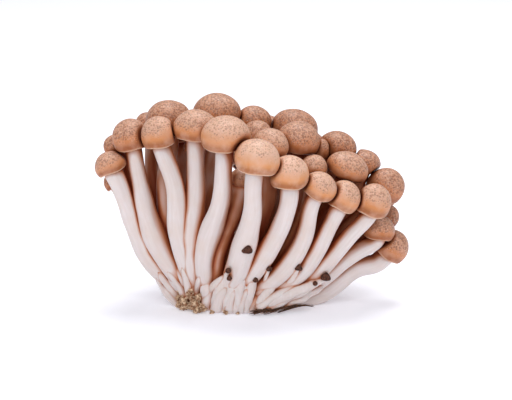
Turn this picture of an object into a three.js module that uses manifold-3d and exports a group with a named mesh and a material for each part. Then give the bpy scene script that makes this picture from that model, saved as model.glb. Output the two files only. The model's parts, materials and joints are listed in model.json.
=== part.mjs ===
// A bunch of brown beech mushrooms standing on its trimmed foot: leaning caps with gilled undersides,
// curved stems grown together at the foot, small stunted heads, and bits of the bed it grew in.
// Millimetres, +Z up, the viewer looks along +Y. The origin is the middle of the flat cut foot.
import * as THREE from 'three';
import { mergeVertices } from 'three/addons/utils/BufferGeometryUtils.js';
import Module from 'manifold-3d';

// Driving dimensions.
const GAP = 0.3;
const PRESS_GAP = 0.5;
const CROWN_SHARE = 0.66;
const LIP_REACH = 0.86;
const GILL_EDGE = 0.78;
const GILL_RELIEF = 0.9;
const SOCKET_DEPTH = 0.08;
const STEM_WIDTH = 7.4;
const NECK_LENGTH = 0.55;
const SPREAD_POWER = 1.8;
const DEFAULT_RISES = [0.3, 0.62];
const STALK_SHARE = 0.72;
const LEAST_KEPT = 0.05;
const CEILING = 200;

// How stems, fingers and stalks swell: pairs of the share of the length and the share of the usual radius.
const STEM_SWELL = [[0, 0.8], [0.18, 1.12], [0.4, 1.16], [0.6, 1.04], [0.8, 0.96], [1, 0.94]];
const STOUT_RINGS = [0, 1, 1, 0.4, 0, 0];
const FINGER_SWELL = [[0, 1], [0.5, 1.05], [0.8, 0.95], [0.94, 0.7], [1, 0.3]];
const STALK_SWELL = [[0, 1.7], [0.5, 1.3], [1, 1]];

// Facets.
const TUBE_SIDES = 7;
const SHRED_SIDES = 5;
const PINHEAD_SIDES = 8;
const LARGE_CAP = { from: 13, sides: 14 };
const SMALL_CAP_SIDES = 10;
const LUMP_FACETS = [14, 8];
const DOME_DEGREES = [62, 31];

// The mushrooms from the front of the bunch to the back: a cap gives way to the caps before it.
// at is the middle of the cap at its widest, lean is to the right and to the front in degrees,
// foot is where the stem leaves the shared base, and via lists the points that the stem passes.
// Some also have their own stem width, a neck as a share of the cap's width, or a stouter lower half.
const MUSHROOMS = [
  { at: [0.4, -33, 69.2], width: 18.4, height: 12.6, lean: [9, 8], foot: [-12, -13, 6], stout: 1.25,
    via: [[-7.6, -18, 19], [-4.8, -23, 31], [-1, -27, 46]] },
  { at: [13.5, -27, 61.5], width: 16.4, height: 12.2, lean: [-2, 8], foot: [-9, -13, 8],
    via: [[-2, -17, 17], [4.5, -20.5, 27.5], [10.5, -23, 39]] },
  { at: [26, -22, 55], width: 14.6, height: 10, lean: [25, 8], foot: [-3, -12, 7],
    via: [[6, -15, 13], [15, -18, 23], [21, -20, 35.5]] },
  { at: [36, -17, 49.5], width: 13.8, height: 11.5, lean: [24, 6], foot: [2, -11, 6],
    via: [[12.5, -13, 12], [22, -15, 20.5], [28.5, -16, 33.5]] },
  { at: [48.5, -13, 46.4], width: 14.6, height: 12.8, lean: [16, 4], foot: [8, -10, 5], neck: 0.3,
    via: [[18.5, -10.5, 11], [28.5, -11, 19.5], [37.5, -12, 31]] },
  { at: [-12.2, -25, 76.8], width: 20.6, height: 13.2, lean: [5, 6], foot: [-19, -11, 6], stout: 1.15,
    via: [[-22, -14, 23], [-18.4, -18, 36], [-13.8, -21, 50]] },
  { at: [-25, -12, 78], width: 18.4, height: 11.6, lean: [0, 4], foot: [-23, -8, 6], stout: 1.4,
    via: [[-28.2, -10, 23], [-27.2, -11.5, 35], [-25, -12, 49]] },
  { at: [-40, -12, 75], width: 15.2, height: 12, lean: [-14, 4], foot: [-24, -8, 6], stout: 1.1,
    via: [[-28, -10, 18], [-33, -13, 38], [-32.5, -14.5, 53]] },
  { at: [-51.8, -6, 72.5], width: 15.6, height: 12.4, lean: [-9, 0], foot: [-25, -4, 6], stout: 1.35,
    via: [[-36, -5, 19], [-43.5, -6, 33], [-47, -6, 47]] },
  { at: [-60.5, -8, 61.5], width: 13.6, height: 8.8, lean: [-25, -4], foot: [-27, -1, 6], stout: 1.2,
    via: [[-38.5, -1, 13], [-47.5, -3, 26.5], [-53, -5, 42]] },
  { at: [51.5, -2, 32.6], width: 13.8, height: 9.4, lean: [12, 4], foot: [12, -7, 4.5], neck: 0.35,
    via: [[23, -6, 9.5], [32, -5.5, 16.5], [40, -5, 23]] },
  { at: [57, 4, 23.2], width: 15.2, height: 12, lean: [38, 0], foot: [14, -3, 4.5], stem: 8.2,
    via: [[26, -2, 4.6], [34.5, 0, 9.6], [42.5, 1.5, 16]] },
  { at: [6, -14, 71.2], width: 15.4, height: 10.4, lean: [14, 4], foot: [-9, -8, 6],
    via: [[-6, -9, 22], [1.6, -11, 38], [5.4, -12, 52]] },
  { at: [-6.2, -13, 57], width: 9.8, height: 6.4, lean: [4, 6], foot: [-16, -10, 6],
    via: [[-17.5, -12, 20], [-14.5, -12.5, 31], [-9.5, -13, 41]] },
  { at: [24, -11, 61], width: 11, height: 8.4, lean: [10, 6], foot: [0, -6, 6], stem: 5.6,
    via: [[9, -9, 18], [17, -10, 32], [21.5, -11, 46]] },
  { at: [38, -5, 59.5], width: 18, height: 10.6, lean: [20, 0], foot: [4, -5, 6],
    via: [[16, -5, 18], [27, -5, 34], [32.5, -5, 47]] },
  { at: [17.7, -2, 70.7], width: 18.2, height: 12.4, lean: [11, 0], foot: [-3, -4, 6],
    via: [[5, -3, 20], [11, -2, 35], [14.5, -2, 52]] },
  { at: [0.5, -1, 72.8], width: 12.8, height: 9.4, lean: [2, 0], foot: [-10, -3, 6] },
  { at: [27.4, 2.8, 65.2], width: 6.4, height: 8, lean: [4, 0], foot: [2, -1, 6], stem: 3.6 },
  { at: [-58.7, 1.5, 67.6], width: 10, height: 7.6, lean: [-16, 0], foot: [-26, 1, 6], stem: 5.4 },
  { at: [54.5, 5, 49.3], width: 16, height: 12.6, lean: [30, -2], foot: [10, 0, 5.5],
    via: [[21, 1, 13], [33, 4.5, 25], [42.5, 6, 36]] },
  { at: [-37, 7, 78], width: 19.2, height: 12.2, lean: [-5, -4], foot: [-24, -1, 6],
    via: [[-31.5, -3, 20], [-37, -3, 37], [-38, -1, 54]] },
  { at: [-16.5, 8, 80.7], width: 20, height: 12.4, lean: [0, -2], foot: [-18, -1, 6],
    via: [[-22, 0, 24], [-21, 3, 42], [-18.5, 6, 60]] },
  { at: [-27, 4, 66.8], width: 6.6, height: 4.6, lean: [-4, 0], foot: [-21, -1, 6], stem: 3.6 },
  { at: [-1, 13, 76], width: 15, height: 10, lean: [4, -6], foot: [-9, 3, 6] },
  { at: [16.2, 16, 72.3], width: 20, height: 12.6, lean: [10, -8], foot: [-2, 6, 6] },
  { at: [34.5, 10, 65.2], width: 16.4, height: 10.6, lean: [18, -6], foot: [5, 4, 6] },
  { at: [46, 9, 58.3], width: 14.6, height: 9.2, lean: [24, -6], foot: [10, 5, 5.5] },
  { at: [55.8, 10.5, 35.1], width: 10.4, height: 8, lean: [30, -4], foot: [14, 3, 5], stem: 5,
    via: [[29, 7.5, 13], [41.5, 10, 23]] },
  { at: [-46, 16, 73.5], width: 11, height: 8.6, lean: [-14, -8], foot: [-24, 4, 6], stem: 5.8,
    via: [[-33, 4, 22], [-41, 6, 40], [-44.5, 9, 56]] },
  { at: [-41.3, 17, 55.6], width: 9, height: 8, lean: [-8, -6], foot: [-22, 6, 6], stem: 4.6 },
  { at: [-60, 6, 51], width: 8.4, height: 6.8, lean: [-28, -4], foot: [-27, 3, 5], stem: 4.6 },
  { at: [-56, 20, 54.5], width: 13, height: 9.4, lean: [-26, -14], foot: [-24, 8, 5] },
  { at: [-33, 26, 67], width: 17, height: 11, lean: [-12, -16], foot: [-19, 9, 6] },
  { at: [-15, 28, 70], width: 18, height: 11.6, lean: [-4, -18], foot: [-12, 11, 6] },
  { at: [4, 30, 68], width: 17, height: 11.2, lean: [4, -20], foot: [-5, 12, 6] },
  { at: [22.5, 32, 61], width: 16.4, height: 10.6, lean: [14, -20], foot: [2, 12, 6] },
  { at: [38, 26, 54], width: 17, height: 11, lean: [24, -16], foot: [8, 10, 5.5] },
  { at: [52.5, 20.5, 42.2], width: 15, height: 10, lean: [30, -10], foot: [13, 8, 5] },
  { at: [-44, 34, 47], width: 14, height: 9.4, lean: [-24, -28], foot: [-18, 13, 5] },
  { at: [-24, 40, 55], width: 15.4, height: 10, lean: [-10, -32], foot: [-11, 15, 5] },
  { at: [-4, 42, 53], width: 14.8, height: 9.8, lean: [2, -34], foot: [-4, 16, 5] },
  { at: [16, 43, 46], width: 14, height: 9.6, lean: [12, -36], foot: [3, 15, 5] },
  { at: [37, 38, 37], width: 14.4, height: 9.8, lean: [28, -34], foot: [9, 13, 5] },
];

// The shared base as lumps: middle, then half sizes.
const BASE_LUMPS = [
  { at: [-15, 1, 2], half: [14, 14, 10] },
  { at: [0, 2, 1], half: [19, 16, 9] },
  { at: [15, 3, 0], half: [15, 9, 6.5] },
];

// Short fingers and strands that never grew a cap: width, then the points from root to tip.
const FINGERS = [
  { width: 6.5, points: [[-24, 2, 4], [-36, 4, 12], [-46.5, 6, 22]] },
  { width: 5.5, points: [[-20, -4, 2], [-29, -7, 6], [-37, -6, 15]] },
  { width: 5, points: [[-21, -12, 0.5], [-20.6, -13.6, 7], [-21, -13.8, 14], [-21.8, -14, 22]] },
  { width: 4.2, points: [[-16.5, -14.5, 0.5], [-16.4, -16.5, 6], [-14.6, -18.4, 12], [-12.6, -19.4, 17]] },
  { width: 4.8, points: [[-12.5, -15.5, 0.5], [-12, -17, 6], [-10, -18, 12], [-8.2, -18, 21]] },
  { width: 4.8, points: [[-8.5, -15.5, 0.5], [-8, -17.6, 6], [-6.8, -18.4, 12], [-6, -18.4, 21]] },
  { width: 4.6, points: [[-4.5, -15.5, 0.5], [-3.4, -17.6, 6], [-2, -17.6, 12], [-0.4, -17.4, 20]] },
  { width: 4.2, points: [[-1, -15.5, 0.5], [1.6, -17.4, 5.5], [4.8, -17, 10], [10, -16, 16.5]] },
  { width: 4.4, points: [[1, -15.5, 0.6], [5, -17.5, 4.5], [12, -17, 8], [21, -15.6, 11], [28, -13.6, 14]] },
  { width: 4, points: [[6, -14, 0.8], [14, -13.6, 3.5], [22, -12, 7], [28, -8.5, 10]] },
  { width: 3.6, points: [[-24, -4, 0.8], [-31, -5, 4.5], [-37, -4, 10], [-46, -2.6, 23]] },
  { width: 3.4, points: [[-24, -7, 0.8], [-29, -8.5, 5.5], [-34, -6.6, 12], [-41, -5.6, 27]] },
  { width: 3.4, points: [[-22, -9, 0.8], [-25.5, -11, 6], [-28.4, -10.4, 12], [-32, -11.6, 30]] },
];

// Stunted dark heads: middle of the flat underside, width, and the points of the short stalk.
const PINHEADS = [
  { at: [-3.7, -25.4, 30], width: 4.6, stalk: [[-8, -18, 14], [-7, -22, 20], [-4.4, -24.6, 27]] },
  { at: [-11.4, -23.4, 20.6], width: 2.6, stalk: [[-13.4, -14, 10], [-12.8, -18.6, 15.6]] },
  { at: [-0.2, -19.6, 15.6], width: 2.4, stalk: [[-3, -14, 6], [-1.5, -17, 11]] },
  { at: [5.4, -20.4, 20.6], width: 2.6, stalk: [[2, -15, 10], [4, -18, 16]] },
  { at: [17.6, -19.6, 20.6], width: 3.2, stalk: [[11, -14, 9], [15, -17.5, 16]] },
  { at: [29, -14, 15.2], width: 4.2, stalk: [[6, -13, 4.5], [16, -13.5, 8], [25, -13.8, 12.4]] },
  { at: [24.6, -15.6, 13], width: 2.2, stalk: [[17, -12, 6], [22, -14, 10]] },
  { at: [-11, -22.6, 17], width: 2.2, stalk: [[-12.6, -15, 7], [-12.2, -19, 12.6]] },
];

// Crumbs of the bed stuck to the left front of the foot: middle, then half size.
const CRUMBS = [
  [-28.6, -11, 3.4, 3.4], [-25.4, -14, 3.6, 3.3], [-31.4, -8.4, 5.2, 2.6], [-30, -12, 1.8, 2.4],
  [-22.8, -15.2, 2.2, 2.4], [-27.4, -12.6, 7.4, 2.4], [-24, -14.8, 6.6, 2], [-32, -10, 2.4, 1.9],
  [-25, -16.6, 1.3, 1.7],
];

// Dark shreds of the bed along the lower right edge: width, then points.
const SHREDS = [
  { width: 2.2, points: [[-2, -19.5, 1.2], [1.5, -20, 2], [5, -19.4, 2.4], [8, -18, 2]] },
  { width: 1.3, points: [[3, -20, 0.9], [8, -18.6, 2.4], [13, -16.8, 3], [19, -14.6, 3]] },
  { width: 1.3, points: [[9, -18, 1], [15, -15.8, 2.4], [20, -13.6, 3], [24, -12, 2]] },
];

const COLOURS = {
  cap: { color: '#c8906a', roughness: 0.62 },
  stem: { color: '#e6dedf', roughness: 0.7 },
  pinhead: { color: '#3b2119', roughness: 0.6 },
  crumbs: { color: '#b08a55', roughness: 0.95 },
  shreds: { color: '#4a3028', roughness: 0.95 },
};

const wasm = await Module();
wasm.setup();

const vector = (point) => new THREE.Vector3(...point);

// A closed three.js geometry as a solid that can be joined and cut.
function toSolid(geometry) {
  const bare = geometry.clone();
  bare.deleteAttribute('normal');
  bare.deleteAttribute('uv');
  const merged = mergeVertices(bare, 1e-3);
  return new wasm.Manifold(new wasm.Mesh({
    numProp: 3,
    vertProperties: new Float32Array(merged.attributes.position.array),
    triVerts: new Uint32Array(merged.index.array),
  }));
}

function toGeometry(solid) {
  const mesh = solid.getMesh();
  const geometry = new THREE.BufferGeometry();
  geometry.setAttribute('position', new THREE.BufferAttribute(new Float32Array(mesh.vertProperties), 3));
  geometry.setIndex(new THREE.BufferAttribute(new Uint32Array(mesh.triVerts), 1));
  geometry.computeVertexNormals();
  return geometry;
}

const join = (geometries) => geometries.map(toSolid).reduce((whole, next) => whole.add(next));

function largestBody(solid) {
  return solid.decompose().sort((one, two) => two.volume() - one.volume())[0];
}

// A round profile of [share of the length, radius] pairs, closed at both ends, grown along a curve.
function growAlong(curve, profile, sides) {
  const outline = [
    new THREE.Vector2(0, profile[0][0]),
    ...profile.map(([share, radius]) => new THREE.Vector2(radius, share)),
    new THREE.Vector2(0, profile.at(-1)[0]),
  ];
  const geometry = new THREE.LatheGeometry(outline, sides);
  const position = geometry.attributes.position;
  const depth = new THREE.Vector3(0, 1, 0);
  for (let i = 0; i < position.count; i += 1) {
    const share = THREE.MathUtils.clamp(position.getY(i), 0, 1);
    const tangent = curve.getTangentAt(share);
    const side = new THREE.Vector3().crossVectors(depth, tangent).normalize();
    const front = new THREE.Vector3().crossVectors(side, tangent);
    const point = curve.getPointAt(share)
      .addScaledVector(side, position.getX(i))
      .addScaledVector(front, position.getZ(i));
    position.setXYZ(i, point.x, point.y, point.z);
  }
  return geometry;
}

// The axis of a cap that leans to the right and to the front.
function axisOf({ lean: [right, front] }) {
  const slope = (degrees) => Math.tan(THREE.MathUtils.degToRad(degrees));
  return new THREE.Vector3(slope(right), -slope(front), 1).normalize();
}

// How far a cap reaches from its middle in a direction.
function reachOf(cap, direction) {
  const along = direction.dot(axisOf(cap));
  const across = Math.sqrt(Math.max(0, 1 - along * along));
  const radius = cap.width / 2;
  const crown = cap.height * CROWN_SHARE;
  const margin = cap.height - crown;
  const dome = Math.hypot(radius * across, (along > 0 ? crown : margin) * along);
  const lip = LIP_REACH * radius * across - margin * along;
  return Math.max(dome, lip);
}

// The planes that a cap may not cross, one for each cap before it in the list.
function contactPlanes(cap, earlier) {
  return earlier.map((other) => {
    const towards = vector(other.at).sub(vector(cap.at)).normalize();
    const reach = reachOf(other, towards.clone().negate());
    const limit = towards.dot(vector(other.at)) - reach - PRESS_GAP;
    return { towards, limit };
  });
}

const stemWidth = (mushroom) => mushroom.stem ?? STEM_WIDTH;

// The rows of a cap from the socket under it, over the gills and the lip, to the crown.
const GILL_ROW = 2;

// A cap: a lathed dome with its margin turned in, gills in relief below, pressed flat by its neighbours.
function capGeometry(cap, earlier) {
  const radius = cap.width / 2;
  const crown = cap.height * CROWN_SHARE;
  const margin = cap.height - crown;
  const socket = stemWidth(cap) / 2 + GAP;
  const socketTop = -cap.height * SOCKET_DEPTH;
  const onDome = (degrees) => {
    const angle = THREE.MathUtils.degToRad(degrees);
    return new THREE.Vector2(radius * Math.sin(angle), crown * Math.cos(angle));
  };
  const gillEdge = new THREE.Vector2(radius * GILL_EDGE, -margin * 0.8);
  const gillRoot = new THREE.Vector2(socket, socketTop);
  const profile = [
    new THREE.Vector2(0, socketTop), gillRoot, gillEdge,
    new THREE.Vector2(radius * LIP_REACH, -margin), new THREE.Vector2(radius, -margin * 0.2),
    ...DOME_DEGREES.map(onDome), new THREE.Vector2(0, crown),
  ];
  const sides = cap.width > LARGE_CAP.from ? LARGE_CAP.sides : SMALL_CAP_SIDES;
  const geometry = new THREE.LatheGeometry(profile, sides);
  const turn = new THREE.Quaternion().setFromUnitVectors(new THREE.Vector3(0, 1, 0), axisOf(cap));
  const middle = vector(cap.at);
  const planes = contactPlanes(cap, earlier);

  // The share of its full reach that a meridian keeps so that it clears every plane.
  const kept = Array.from({ length: sides }, (_, step) => {
    const azimuth = (step / sides) * Math.PI * 2;
    let share = 1;
    for (const { x: reach, y: level } of profile.filter((corner) => corner.x > socket)) {
      const level3 = new THREE.Vector3(0, level, 0).applyQuaternion(turn).add(middle);
      const outward = new THREE.Vector3(Math.sin(azimuth), 0, Math.cos(azimuth)).applyQuaternion(turn);
      for (const { towards, limit } of planes) {
        const rate = towards.dot(outward);
        const free = rate > 0 ? (limit - towards.dot(level3)) / rate : Infinity;
        share = Math.min(share, (free - socket) / (reach - socket));
      }
    }
    return Math.max(share, LEAST_KEPT);
  });
  const position = geometry.attributes.position;
  for (let i = 0; i < position.count; i += 1) {
    const step = Math.floor(i / profile.length) % sides;
    const row = i % profile.length;
    const { x: reach, y: level } = profile[row];
    const drawn = reach > socket ? socket + (reach - socket) * kept[step] : reach;
    const azimuth = (step / sides) * Math.PI * 2;
    const lift = row === GILL_ROW && step % 2 === 1 ? GILL_RELIEF : 0;
    const point = new THREE.Vector3(drawn * Math.sin(azimuth), level + lift, drawn * Math.cos(azimuth));
    point.applyQuaternion(turn).add(middle);
    position.setXYZ(i, point.x, point.y, point.z);
  }
  return geometry;
}

// The curve of a stem from the base to the socket of its cap.
function stemCurve(mushroom) {
  const axis = axisOf(mushroom);
  const top = vector(mushroom.at).addScaledVector(axis, -mushroom.height * SOCKET_DEPTH - GAP);
  const neck = top.clone().addScaledVector(axis, -mushroom.width * (mushroom.neck ?? NECK_LENGTH));
  const foot = vector(mushroom.foot);
  const via = mushroom.via?.map(vector) ?? DEFAULT_RISES.map((rise) => {
    const spread = 1 - (1 - rise) ** SPREAD_POWER;
    return new THREE.Vector3(
      THREE.MathUtils.lerp(foot.x, neck.x, spread),
      THREE.MathUtils.lerp(foot.y, neck.y, spread),
      THREE.MathUtils.lerp(foot.z, neck.z, rise),
    );
  });
  return new THREE.CatmullRomCurve3([foot, ...via, neck, top], false, 'centripetal');
}

function stemGeometry(mushroom) {
  const half = stemWidth(mushroom) / 2;
  const stout = (mushroom.stout ?? 1) - 1;
  const profile = STEM_SWELL.map(([share, size], ring) => {
    const radius = half * size * (1 + stout * STOUT_RINGS[ring]);
    return [share, radius];
  });
  return growAlong(stemCurve(mushroom), profile, TUBE_SIDES);
}

function lumpGeometry({ at, half }) {
  return new THREE.SphereGeometry(1, ...LUMP_FACETS).scale(...half).translate(...at);
}

// A tube through points, with a swell read at a half width.
function tubeGeometry(points, swell, half, sides) {
  const curve = new THREE.CatmullRomCurve3(points.map(vector), false, 'centripetal');
  return growAlong(curve, swell.map(([share, size]) => [share, size * half]), sides);
}

function fingerGeometry({ width, points }) {
  return tubeGeometry(points, FINGER_SWELL, width / 2, TUBE_SIDES);
}

function stalkGeometry({ at: [x, y, z], width, stalk }) {
  return tubeGeometry([...stalk, [x, y, z - GAP]], STALK_SWELL, (width * STALK_SHARE) / 2, TUBE_SIDES);
}

// A pinhead: a low dome, larger by extra on every side.
function pinheadGeometry({ at, width }, extra) {
  const half = width / 2 + extra;
  const outline = [
    new THREE.Vector2(0, -extra), new THREE.Vector2(half * 0.9, -extra), new THREE.Vector2(half, width * 0.2),
    new THREE.Vector2(half * 0.66, width * 0.56 + extra), new THREE.Vector2(0, width * 0.7 + extra),
  ];
  return new THREE.LatheGeometry(outline, PINHEAD_SIDES).rotateX(Math.PI / 2).translate(...at);
}

function crumbSolid(extra) {
  return join(CRUMBS.map(([x, y, z, half], index) => new THREE.IcosahedronGeometry(half + extra, 0)
    .rotateZ(index * 1.3).rotateX(index * 0.7).translate(x, y, z)));
}

function shredSolid(extra) {
  return join(SHREDS.map(({ width, points }) => {
    const curve = new THREE.CatmullRomCurve3(points.map(vector), false, 'centripetal');
    const half = width / 2 + extra;
    return growAlong(curve, [0, 0.3, 0.6, 1].map((share) => [share, half]), SHRED_SIDES);
  }));
}

// Everything above the level that the bunch is trimmed to.
function aboveCut(solid) {
  const box = new THREE.BoxGeometry(CEILING * 2, CEILING * 2, CEILING).translate(0, 0, CEILING / 2);
  return solid.intersect(toSolid(box));
}

function named(name, geometry, { color, roughness }) {
  const mesh = new THREE.Mesh(geometry, new THREE.MeshStandardMaterial({ color, roughness, metalness: 0 }));
  mesh.name = name;
  return mesh;
}

const numbered = (word, index) => `${word}_${String(index + 1).padStart(2, '0')}`;

const bunch = new THREE.Group();

MUSHROOMS.forEach((mushroom, index) => {
  const geometry = toGeometry(toSolid(capGeometry(mushroom, MUSHROOMS.slice(0, index))));
  bunch.add(named(numbered('cap', index), geometry, COLOURS.cap));
});

PINHEADS.forEach((pinhead, index) => {
  const geometry = toGeometry(toSolid(pinheadGeometry(pinhead, 0)));
  bunch.add(named(numbered('pinhead', index), geometry, COLOURS.pinhead));
});

const flesh = join([
  ...BASE_LUMPS.map(lumpGeometry),
  ...MUSHROOMS.map(stemGeometry),
  ...FINGERS.map(fingerGeometry),
  ...PINHEADS.map(stalkGeometry),
]);
const clearOfBits = [
  ...PINHEADS.map((pinhead) => toSolid(pinheadGeometry(pinhead, GAP))),
  crumbSolid(GAP),
  shredSolid(GAP),
].reduce((solid, bit) => solid.subtract(bit), flesh);

bunch.add(named('stems_and_base', toGeometry(largestBody(aboveCut(clearOfBits))), COLOURS.stem));
bunch.add(named('bed_crumbs', toGeometry(largestBody(aboveCut(crumbSolid(0)))), COLOURS.crumbs));
bunch.add(named('bed_shreds', toGeometry(largestBody(aboveCut(shredSolid(0)))), COLOURS.shreds));

export default bunch;
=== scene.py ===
import json
import math
import random
from typing import NamedTuple

import bpy
import numpy as np
from mathutils import Matrix, Vector, noise
from mathutils.bvhtree import BVHTree

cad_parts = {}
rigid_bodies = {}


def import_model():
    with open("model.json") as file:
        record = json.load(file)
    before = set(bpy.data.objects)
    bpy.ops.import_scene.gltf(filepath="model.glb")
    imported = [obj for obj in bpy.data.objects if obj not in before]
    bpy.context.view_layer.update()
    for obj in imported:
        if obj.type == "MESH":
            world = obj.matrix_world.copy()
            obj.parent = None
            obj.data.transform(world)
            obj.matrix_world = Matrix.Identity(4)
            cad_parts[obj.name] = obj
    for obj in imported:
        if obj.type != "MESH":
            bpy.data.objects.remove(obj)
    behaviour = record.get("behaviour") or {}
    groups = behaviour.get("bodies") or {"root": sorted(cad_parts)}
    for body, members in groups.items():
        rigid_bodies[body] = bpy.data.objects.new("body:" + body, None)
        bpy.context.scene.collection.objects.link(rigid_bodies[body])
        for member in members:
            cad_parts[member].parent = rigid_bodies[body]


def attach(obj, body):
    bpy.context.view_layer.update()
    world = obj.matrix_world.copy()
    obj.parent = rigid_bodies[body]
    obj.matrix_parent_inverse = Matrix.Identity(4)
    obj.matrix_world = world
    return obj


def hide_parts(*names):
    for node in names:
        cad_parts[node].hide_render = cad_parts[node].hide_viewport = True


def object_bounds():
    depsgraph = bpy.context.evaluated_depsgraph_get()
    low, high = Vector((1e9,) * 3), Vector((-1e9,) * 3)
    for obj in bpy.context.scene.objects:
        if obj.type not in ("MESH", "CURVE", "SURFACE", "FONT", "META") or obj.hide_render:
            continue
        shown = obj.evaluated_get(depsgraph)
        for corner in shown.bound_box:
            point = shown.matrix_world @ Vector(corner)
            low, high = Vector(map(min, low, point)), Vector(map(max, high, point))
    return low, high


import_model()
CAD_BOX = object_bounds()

bl_info = {
    "name": "Beech mushroom bunch",
    "version": (1, 0, 0),
    "blender": (4, 5, 0),
    "location": "View3D > Sidebar > Mushrooms",
    "description": "Dresses a bunch of brown beech mushrooms on their trimmed foot",
    "category": "Object",
}

MM = 0.001
BODY = "root"
STEMS_NODE = "stems_and_base"
SEED = 41

# How the caps are built up, as shares of a cap's own size, and in millimetres.
CROWN_SHARE = 0.66
LIP_REACH = 0.86
GILL_EDGE = 0.75
GILL_SPAN = (0.3, 0.765)
GILL_RANGE = (-0.9, -0.1)
GILL_FADE = 0.7
GILL_RELIEF = 0.26
SOCKET_DEPTH = 0.08
GAP = 0.3
PRESS_GAP = 0.25
PRESS_SOFTNESS = 0.9
ROLLED_LIP = 0.8
STEM_WIDTH = 7.4
NECK_LENGTH = 0.55
SPREAD_POWER = 1.8
DEFAULT_RISES = (0.3, 0.62)
STEM_SWELL = ((0, 0.8), (0.18, 1.12), (0.4, 1.16), (0.6, 1.04), (0.8, 0.96), (1, 0.94))
STOUT_RINGS = (0, 1, 1, 0.4, 0, 0)
FINGER_SWELL = ((0, 1), (0.5, 1.05), (0.8, 0.95), (0.94, 0.7), (1, 0.3))
RIDGE_SWELL = ((0, 1.15), (0.3, 1), (0.7, 0.85), (1, 0.2))
RIDGE_STEPS = 9
RIDGE_SINK = 0.3
BACK_RIDGES = 13
BASE_MIDDLE = -2
BASE_HALF = 25
BACK_ROW_FROM = 33

# The unevenness of a stem: its waves and ribs, in cycles to a millimetre along it and ribs round it.
WAVE_PITCH = 0.09
WAVE_HEIGHT = 1.6
RIB_PITCH = 0.05
RIBS_ROUND = 3.2
FIBRE_PITCH = 0.06


class Mushroom(NamedTuple):
    """A cap and its stem, in millimetres, with the cap's lean in degrees."""
    middle: tuple                # of the cap at its widest
    width: float
    height: float
    lean: tuple                  # to the right and to the front
    foot: tuple                  # where the stem leaves the shared base
    via: tuple = ()              # the points that the stem passes
    stem: float = STEM_WIDTH
    stout: float = 1             # how much wider the lower half of the stem is
    neck: float = NECK_LENGTH    # the straight stretch below the cap, as a share of the cap's width


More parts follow.
